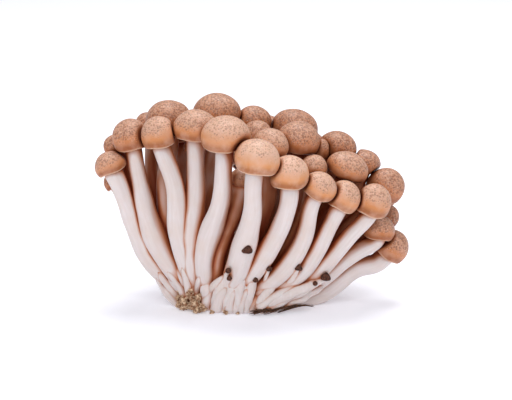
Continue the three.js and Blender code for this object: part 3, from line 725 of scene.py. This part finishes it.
class StemSettings(bpy.types.PropertyGroup):
    sides: count_of("Sides", "Faces round each stem", 32)
    rings: count_of("Rings", "Faces along each stem", 56)
    flesh: colour_of("Flesh", "Colour of the flesh", "#E2D7D4")
    fibre: colour_of("Fibre", "Colour of the fibres", "#D6C7C1")
    blush: colour_of("Blush", "Colour of the flushes", "#DAC6BA")
    # Painted shade colours for hidden flesh.
    warm_shade: colour_of("Warm", "Colour of sheltered flesh", "#C27C54")
    deep_shade: colour_of("Deep", "Colour of deeply sheltered flesh", "#8C3A18")


class StageSettings(bpy.types.PropertyGroup):
    elevation: bpy.props.FloatProperty(
        name="Elevation", description="Camera height above the horizon", default=math.radians(13),
        subtype="ANGLE")
    distance: bpy.props.FloatProperty(
        name="Distance", description="Camera distance", default=1.0, unit="LENGTH")
    aim_height: bpy.props.FloatProperty(
        name="Aim height", description="Height that the camera looks at", default=0.0448, unit="LENGTH")
    frame_width: bpy.props.FloatProperty(
        name="Frame width", description="Width of the picture at the bunch", default=0.215, unit="LENGTH")
    floor: colour_of("Floor", "Colour of the floor", "#F2F3FA")
    floor_glow: bpy.props.FloatProperty(
        name="Floor glow", description="Light that shines through the floor from below", default=0.28)
    sky: bpy.props.FloatProperty(name="Sky", description="Strength of the light from all round", default=0.42)
    key: bpy.props.FloatProperty(name="Key", description="Power of the front lamp in watts", default=6.2)
    top: bpy.props.FloatProperty(name="Top", description="Power of the top lamp in watts", default=10.0)


# Operators, one for each group of pieces.

class BUNCH_OT_caps(bpy.types.Operator):
    """Models one cap and copies it for every mushroom, pressed, leaned and placed."""
    bl_idname = "bunch.caps"
    bl_label = "Caps"

    LOBES = ((2, 0.018), (3, 0.012), (7, 0.006))
    WAVY_RIM = 0.3
    DENT = 0.02
    FRONT_TONE_ROW = -34
    BACK_TONE_ROW = 12

    def execute(self, context):
        settings = context.scene.bunch_caps
        template = unit_cap(settings.sides, settings.gills)
        material = cap_skin_material(settings)
        for index, mushroom in enumerate(MUSHROOMS):
            name = f"cap_{index + 1:02d}"
            cap = copy_of(template, name + "_fine")
            self.shape(cap, index, mushroom)
            dress(cap, material, "cap_skin", name)
        discard(template)
        return {"FINISHED"}

    def shape(self, cap, index, mushroom):
        draw = random.Random(SEED + index)
        phases = [draw.uniform(0, math.tau) for _ in range(4)]
        dent = Vector([draw.uniform(0, 100) for _ in range(3)])
        radius = mushroom.width / 2
        crown = mushroom.height * CROWN_SHARE
        margin = mushroom.height - crown
        socket = mushroom.stem / 2 + GAP
        middle = Vector(mushroom.middle)
        turn = Vector((0, 0, 1)).rotation_difference(axis_of(mushroom))
        # No plane cuts closer to the middle than the end of the stem.
        planes = [(towards, max(limit, towards.dot(middle) + socket + 1))
                  for towards, limit in contact_planes(index)]
        # The caps darken towards the back of the bunch.
        rearness = smooth(self.FRONT_TONE_ROW, self.BACK_TONE_ROW, mushroom.middle[1]) * 0.9 + draw.uniform(-0.1, 0.15)
        rearness = min(1, max(0, rearness))
        falls, unders, speckles = [], [], []
        for vertex in cap.data.vertices:
            x, y, z = vertex.co
            reach, angle = math.hypot(x, y), math.atan2(y, x)
            under = z < 0 and reach < ROLLED_LIP - 0.01
            fall = (1 - z) / 2
            falls.append(fall)
            unders.append(float(under))
            lobes = sum(share * math.sin(count * angle + phase)
                        for (count, share), phase in zip(self.LOBES, phases))
            drawn = reach * radius * (1 + lobes * smooth(0.2, 0.8, reach))
            level = z * (crown if z > 0 else margin)
            level += self.WAVY_RIM * math.sin(3 * angle + phases[3]) * smooth(0.3, 1.0, reach)
            point = Vector((drawn * math.cos(angle), drawn * math.sin(angle), level))
            patch = noise.noise(point * 0.2 + dent)
            spread = 1 - smooth(0.16 + 0.28 * rearness, 0.42 + 0.3 * rearness, fall + 0.16 * patch)
            speckles.append(spread * (0.8 + 0.2 * rearness))
            point *= 1 + self.DENT * noise.noise(point * 0.16 + dent)
            vertex.co = inside(press(middle + turn @ point, planes) * MM)
        set_attribute(cap, "fall", falls)
        set_attribute(cap, "under", unders)
        set_attribute(cap, "speckled", speckles)
        set_attribute(cap, "tone", [rearness] * len(falls))


class BUNCH_OT_stems(bpy.types.Operator):
    """Models one stem and copies it for every mushroom, bent along its route."""
    bl_idname = "bunch.stems"
    bl_label = "Stems"

    INTO_CAP = 1.3
    END_SWELL = 1.05

    def execute(self, context):
        settings = context.scene.bunch_stems
        template = unit_tube(settings.sides, settings.rings, "unit_stem")
        material = stem_flesh_material(settings)
        back_row = []
        for index, mushroom in enumerate(MUSHROOMS):
            stem = copy_of(template, f"stem_{index + 1:02d}")
            draw = random.Random(SEED * 2 + index)
            route = stem_route(mushroom)
            into_cap = 1 + self.INTO_CAP / route.length
            for vertex in stem.data.vertices:
                vertex.co.z *= into_cap
            profile = [(share, size * (1 + (mushroom.stout - 1) * part))
                       for (share, size), part in zip(STEM_SWELL, STOUT_RINGS)]
            profile[-1] = (into_cap, self.END_SWELL)
            bend_tube(stem, route, mushroom.stem / 2, profile, draw)
            if index + 1 >= BACK_ROW_FROM:
                back_row.append(stem)
            else:
                dress(stem, material, "stem_flesh", STEMS_NODE)
        dress(join_pieces(back_row, "stems_back_row"), material, "stem_flesh", STEMS_NODE)
        discard(template)
        return {"FINISHED"}


class BUNCH_OT_foot(bpy.types.Operator):
    """Fuses the foot with its capless fingers and stalks, trims it flat and lays ridges over it."""
    bl_idname = "bunch.foot"
    bl_label = "Foot"

    STALK_SHARE = 0.36
    STALK_SWELL = ((0, 1.7), (0.5, 1.3), (1, 1))
    FIBRE_STRETCH = 0.15
    VOXEL = 0.45 * MM
    SWELLS = ((0.5, 0.22), (0.16, 0.9))
    FAR = 80    # where the rays that find the surface start
    RIM = 6     # how deep a ridge lies where they meet nothing

    def execute(self, context):
        draw = random.Random(SEED * 3)
        bodies = [self.lump(place, half) for place, half in BASE_LUMPS]
        template = unit_tube(20, 24, "unit_finger")
        for width, points in FINGERS:
            finger = copy_of(template, "finger")
            bend_tube(finger, Route(points), width / 2, FINGER_SWELL, draw)
            bodies.append(finger)
        for place, width, stalk in PINHEADS:
            body = copy_of(template, "stalk")
            top = (place[0], place[1], place[2] - GAP)
            bend_tube(body, Route([*stalk, top]), width * self.STALK_SHARE, self.STALK_SWELL, draw)
            bodies.append(body)
        discard(template)
        foot = join_pieces(bodies, "foot")
        foot.data.attributes.remove(foot.data.attributes["fibre"])
        self.fuse(foot)
        fibres = [(v.co.x, v.co.y, v.co.z * self.FIBRE_STRETCH) for v in foot.data.vertices]
        set_attribute(foot, "fibre", fibres, "FLOAT_VECTOR")
        material = bpy.data.materials["mushroom_stem_flesh"]
        ridges = self.ridges(foot, draw)
        dress(foot, material, "stem_flesh", STEMS_NODE)
        dress(ridges, material, "stem_flesh", STEMS_NODE)
        return {"FINISHED"}

    def ridges(self, foot, draw):
        """Lays narrow tapering ridges over the foot and the stems' feet, in front and then behind."""
        skins = []
        for piece in bpy.context.scene.objects:
            if piece == foot or piece.name.startswith("stem"):
                places = [vertex.co for vertex in piece.data.vertices]
                skins.append(BVHTree.FromPolygons(places, [face.vertices for face in piece.data.polygons]))
        template = unit_tube(14, 30, "unit_ridge")
        ridges = []
        plans = [(1, *ridge) for ridge in RIDGES] + [(-1, *ridge) for ridge in self.back_ridges()]
        for inward, width, points in plans:
            path = Route([(right, 0, up) for right, up in points])
            places, depth = [], -self.RIM * inward
            for step in range(RIDGE_STEPS):
                place = path.at(step / (RIDGE_STEPS - 1))
                start = Vector((place.x, -self.FAR * inward, place.z)) * MM
                hits = [skin.ray_cast(start, Vector((0, inward, 0)))[0] for skin in skins]
                fronts = [inward * hit.y / MM for hit in hits if hit]
                if fronts:
                    depth = inward * min(fronts)
                places.append((place.x, depth + inward * RIDGE_SINK * width, place.z))
            ridge = copy_of(template, "ridge")
            bend_tube(ridge, Route(places), width / 2, RIDGE_SWELL, draw, 0.12, 0.1)
            ridges.append(ridge)
        discard(template)
        return join_pieces(ridges, "foot_ridges")

    @staticmethod
    def back_ridges():
        """Ridges that fan out from the rim at the back of the foot onto the stems above it."""
        ridges = []
        for index in range(BACK_RIDGES):
            share = 2 * index / (BACK_RIDGES - 1) - 1
            root = BASE_MIDDLE + BASE_HALF * share
            top = 15 + 3 * math.sin(2.1 * index)
            points = ((root, -0.8), (root + 1.2 * share, 5), (root + 3 * share, 10), (root + 6 * share, top))
            ridges.append((5 + 0.8 * math.sin(2.7 * index), points))
        return ridges

    @staticmethod
    def lump(place, half):
        deselect_all()
        bpy.ops.mesh.primitive_uv_sphere_add(segments=48, ring_count=24, radius=MM)
        lump = bpy.context.object
        for vertex in lump.data.vertices:
            vertex.co = Vector([c * h + p * MM for c, h, p in zip(vertex.co, half, place)])
        return lump

    @staticmethod
    def fuse(foot):
        make_active(foot)
        remesh = foot.modifiers.new("fuse", "REMESH")
        remesh.mode = "VOXEL"
        remesh.voxel_size = BUNCH_OT_foot.VOXEL
        bpy.ops.object.modifier_apply(modifier="fuse")
        soften = foot.modifiers.new("soften", "SMOOTH")
        soften.iterations = 3
        bpy.ops.object.modifier_apply(modifier="soften")
        outward = [vertex.normal.copy() for vertex in foot.data.vertices]
        for vertex, normal in zip(foot.data.vertices, outward):
            point = vertex.co / MM
            lift = sum(height * noise.noise(point * pitch) for height, pitch in BUNCH_OT_foot.SWELLS)
            vertex.co += normal * lift * MM
        bpy.ops.object.mode_set(mode="EDIT")
        bpy.ops.mesh.select_all(action="SELECT")
        bpy.ops.mesh.bisect(plane_co=(0, 0, 0), plane_no=(0, 0, 1), clear_inner=True, use_fill=True,
                            threshold=1e-6)
        bpy.ops.object.mode_set(mode="OBJECT")
        bpy.ops.object.shade_smooth()


class BUNCH_OT_pinheads(bpy.types.Operator):
    """Models one stunted head and copies it to the tip of each stalk."""
    bl_idname = "bunch.pinheads"
    bl_label = "Stunted heads"

    LARGE = 3
    CROWN = 0.6
    MARGIN = 0.3
    UNEVEN = 0.12
    POINTED = 0.35
    UPRIGHT = Vector((0.06, -0.14, 1)).normalized()
    TILTED = Vector((0.05, -0.6, 0.8)).normalized()
    FORWARD = Vector((0, -0.4, 0))

    def execute(self, context):
        template = unit_cap(40, 20)
        material = grained_material("dried_mushroom_skin", "#2A120A", "#643A28", 0.8, 0.1)
        for index, (place, width, _stalk) in enumerate(PINHEADS):
            name = f"pinhead_{index + 1:02d}"
            head = copy_of(template, name + "_fine")
            turn = Vector((0, 0, 1)).rotation_difference(self.UPRIGHT if width > self.LARGE else self.TILTED)
            draw = random.Random(SEED * 4 + index)
            offset = draw.uniform(0, 50)
            for vertex in head.data.vertices:
                x, y, z = vertex.co
                level = (z * self.CROWN if z > 0 else max(z, -0.5) * self.MARGIN) * width
                half = width / 2 * (1 - self.POINTED * max(z, 0))
                point = Vector((x * half, y * half, level))
                point *= 1 + self.UNEVEN * noise.noise(point * 0.8 + Vector((offset, 0, 0)))
                vertex.co = (Vector(place) + turn @ point + self.FORWARD * width) * MM
            dress(head, material, "pinhead_skin", name)
        discard(template)
        return {"FINISHED"}


class BUNCH_OT_bed(bpy.types.Operator):
    """Heaps the crumbs of the bed on the foot and lays the dark shreds along its edge."""
    bl_idname = "bunch.bed"
    bl_label = "Bed crumbs and shreds"

    GRAINS = 84
    GRAIN_SIZES = (0.05, 0.14)
    GRAIN_STRETCH = (0.4, 2.6)
    HEAP = (0.35, 0.92)
    STRANDS = 12
    STRAND_SIZES = (0.05, 0.15)
    STRAND_SWELL = ((0, 0.3), (0.2, 1), (0.7, 0.9), (1, 0.25))
    JITTER = 0.5

    def execute(self, context):
        draw = random.Random(SEED * 5)
        crumb_material = grained_material("beech_sawdust", "#8C5836", "#EDD0B0", 1.1, 0.2)
        dress(self.crumbs(draw), crumb_material, "bed_crumbs", "bed_crumbs")
        shred_material = grained_material("wet_bark_fibre", "#2E1A12", "#6A4630", 0.7, 0.2)
        dress(self.shreds(draw), shred_material, "bed_shreds", "bed_shreds")
        return {"FINISHED"}

    def crumbs(self, draw):
        deselect_all()
        bpy.ops.mesh.primitive_ico_sphere_add(subdivisions=2, radius=1)
        template = bpy.context.object
        grains = []
        for x, y, z, half in CRUMBS:
            for _ in range(self.GRAINS):
                grain = copy_of(template, "grain")
                away = Vector([draw.gauss(0, 1) for _ in range(3)]).normalized() * draw.uniform(*self.HEAP)
                middle = Vector((x, y, z)) + away * half
                size = half * draw.uniform(*self.GRAIN_SIZES)
                middle.z = max(middle.z, size * 0.8)
                turn = Matrix.Rotation(draw.uniform(0, math.tau), 3, "Y")
                shape = turn @ Matrix.Diagonal([size * draw.uniform(*self.GRAIN_STRETCH) for _ in range(3)])
                offset = draw.uniform(0, 50)
                for vertex in grain.data.vertices:
                    rough = 1 + 0.45 * noise.noise(vertex.co * 1.3 + Vector((offset, 0, 0)))
                    vertex.co = (middle + shape @ (vertex.co * rough)) * MM
                    vertex.co.z = max(vertex.co.z, 0)
                grains.append(grain)
        discard(template)
        return join_pieces(grains, "bed_crumbs_fine")

    def shreds(self, draw):
        template = unit_tube(8, 14, "unit_shred")
        shreds = []
        for width, points in SHREDS:
            for _ in range(self.STRANDS):
                shred = copy_of(template, "shred")
                bent = []
                for point in points:
                    shake = [draw.uniform(-self.JITTER, self.JITTER) * width for _ in range(3)]
                    bent.append(Vector(point) + Vector(shake))
                half = width * draw.uniform(*self.STRAND_SIZES)
                for point in bent:
                    point.z = max(point.z, half)
                bend_tube(shred, Route(bent), half, self.STRAND_SWELL, draw, 0.3, 0.35)
                for vertex in shred.data.vertices:
                    vertex.co.z = max(vertex.co.z, 0)
                shreds.append(shred)
        discard(template)
        return join_pieces(shreds, "bed_shreds_fine")


class BUNCH_OT_painted_shade(bpy.types.Operator):
    """Paints shade into the colours: works out how far each point of the pieces is hidden by the flesh around
    it.
    """
    bl_idname = "bunch.shelter"
    bl_label = "Shelter"

    RAYS = 10
    RANGE = 27 * MM
    START = 0.15 * MM
    FOOT_SHADE_CUT = 0.34

    def execute(self, context):
        pieces = [piece for piece in context.scene.objects
                  if piece.type == "MESH" and "shelter" in piece.data.attributes]
        places, faces = [], []
        for piece in pieces:
            first = len(places)
            places.extend(vertex.co.copy() for vertex in piece.data.vertices)
            faces.extend([first + index for index in polygon.vertices] for polygon in piece.data.polygons)
        tree = BVHTree.FromPolygons(places, faces)
        directions = self.directions()
        for piece in pieces:
            normals = [vertex.normal.copy() for vertex in piece.data.vertices]
            shares = []
            for vertex, normal in zip(piece.data.vertices, normals):
                turn = Vector((0, 0, 1)).rotation_difference(normal).to_matrix()
                start = vertex.co + normal * self.START
                hidden = 0
                for direction in directions:
                    distance = tree.ray_cast(start, turn @ direction, self.RANGE)[3]
                    if distance is not None:
                        hidden += 1 - 0.5 * distance / self.RANGE
                # Low on the trimmed foot the painted shade is weaker than on the stems and caps above it.
                pale = 1 - smooth(8, 24, vertex.co.z / MM)
                shares.append(hidden / self.RAYS * (1 - self.FOOT_SHADE_CUT * pale))
            set_attribute(piece, "shelter", self.evened(piece.data, shares))
        return {"FINISHED"}

    def directions(self):
        """Directions over a half ball, closer together about its pole."""
        golden = math.pi * (3 - math.sqrt(5))
        directions = []
        for index in range(self.RAYS):
            share, turn = (index + 0.5) / self.RAYS, index * golden
            across, up = math.sqrt(share), math.sqrt(1 - share)
            directions.append(Vector((across * math.cos(turn), across * math.sin(turn), up)))
        return directions

    @staticmethod
    def evened(mesh, shares):
        """Averages the shares with those of the neighbouring points."""
        edges = np.array([tuple(edge.vertices) for edge in mesh.edges])
        shares = np.array(shares)
        counts = 1.0 + np.bincount(edges.ravel(), minlength=len(shares))
        for _ in range(3):
            total = shares.copy()
            np.add.at(total, edges[:, 0], shares[edges[:, 1]])
            np.add.at(total, edges[:, 1], shares[edges[:, 0]])
            shares = total / counts
        return shares.tolist()


class BUNCH_OT_stage(bpy.types.Operator):
    """Sets the pale floor, the soft lights and the camera."""
    bl_idname = "bunch.stage"
    bl_label = "Stage"

    def execute(self, context):
        settings = context.scene.bunch_stage
        self.floor(settings)
        self.lights(context, settings)
        self.camera(context, settings)
        context.scene.view_settings.view_transform = "Standard"
        return {"FINISHED"}

    @staticmethod
    def floor(settings):
        deselect_all()
        bpy.ops.mesh.primitive_plane_add(size=12)
        floor = bpy.context.object
        floor.name = "floor"
        material, _tree, shader = new_material("studio_paper", 0.85, 1.45)
        shader.inputs["Base Color"].default_value = linear(settings.floor)
        shader.inputs["Emission Color"].default_value = linear(settings.floor)
        shader.inputs["Emission Strength"].default_value = settings.floor_glow
        floor.data.materials.append(material)

    @staticmethod
    def lights(context, settings):
        world = bpy.data.worlds.new("studio_white")
        world.use_nodes = True
        background = world.node_tree.nodes["Background"]
        background.inputs["Color"].default_value = linear("#FBFCFF")
        background.inputs["Strength"].default_value = settings.sky
        context.scene.world = world
        lamps = (
            ("key_light", (-0.12, -1.0, 0.8), 0.9, settings.key),
            ("top_light", (0.08, 0.34, 1.2), 0.7, settings.top),
        )
        for name, place, size, power in lamps:
            bpy.ops.object.light_add(type="AREA", location=place)
            lamp = bpy.context.object
            lamp.name = name
            lamp.data.size = size
            lamp.data.energy = power
            aim = Vector((0, 0, 0.04)) - Vector(place)
            lamp.rotation_mode = "QUATERNION"
            lamp.rotation_quaternion = aim.to_track_quat("-Z", "Y")

    @staticmethod
    def camera(context, settings):
        aim = Vector((0, 0, settings.aim_height))
        back = Vector((0, -math.cos(settings.elevation), math.sin(settings.elevation)))
        bpy.ops.object.camera_add(location=aim + back * settings.distance)
        camera = bpy.context.object
        camera.rotation_mode = "QUATERNION"
        camera.rotation_quaternion = (-back).to_track_quat("-Z", "Y")
        camera.data.sensor_width = 36
        camera.data.lens = camera.data.sensor_width * settings.distance / settings.frame_width
        context.scene.camera = camera


class BUNCH_PT_panel(bpy.types.Panel):
    """Shows the settings of the bunch and a button for each operator."""
    bl_idname = "BUNCH_PT_panel"
    bl_label = "Beech mushroom bunch"
    bl_space_type = "VIEW_3D"
    bl_region_type = "UI"
    bl_category = "Mushrooms"

    def draw(self, context):
        for settings in SETTINGS:
            group = getattr(context.scene, settings)
            box = self.layout.box()
            for name in group.bl_rna.properties.keys():
                if name not in {"rna_type", "name"}:
                    box.prop(group, name)
        for operator in OPERATORS:
            self.layout.operator(operator.bl_idname)


OPERATORS = (BUNCH_OT_stage, BUNCH_OT_caps, BUNCH_OT_stems, BUNCH_OT_foot, BUNCH_OT_pinheads, BUNCH_OT_bed,
             BUNCH_OT_painted_shade)
SETTINGS = {"bunch_caps": CapSettings, "bunch_stems": StemSettings, "bunch_stage": StageSettings}
CLASSES = (*SETTINGS.values(), *OPERATORS, BUNCH_PT_panel)


def register():
    for cls in CLASSES:
        bpy.utils.register_class(cls)
    for name, cls in SETTINGS.items():
        setattr(bpy.types.Scene, name, bpy.props.PointerProperty(type=cls))


def unregister():
    for name in SETTINGS:
        delattr(bpy.types.Scene, name)
    for cls in reversed(CLASSES):
        bpy.utils.unregister_class(cls)


def main():
    register()
    bpy.ops.bunch.stage()
    bpy.ops.bunch.caps()
    bpy.ops.bunch.stems()
    bpy.ops.bunch.foot()
    bpy.ops.bunch.pinheads()
    bpy.ops.bunch.bed()
    bpy.ops.bunch.shelter()


if __name__ == "__main__":
    main()
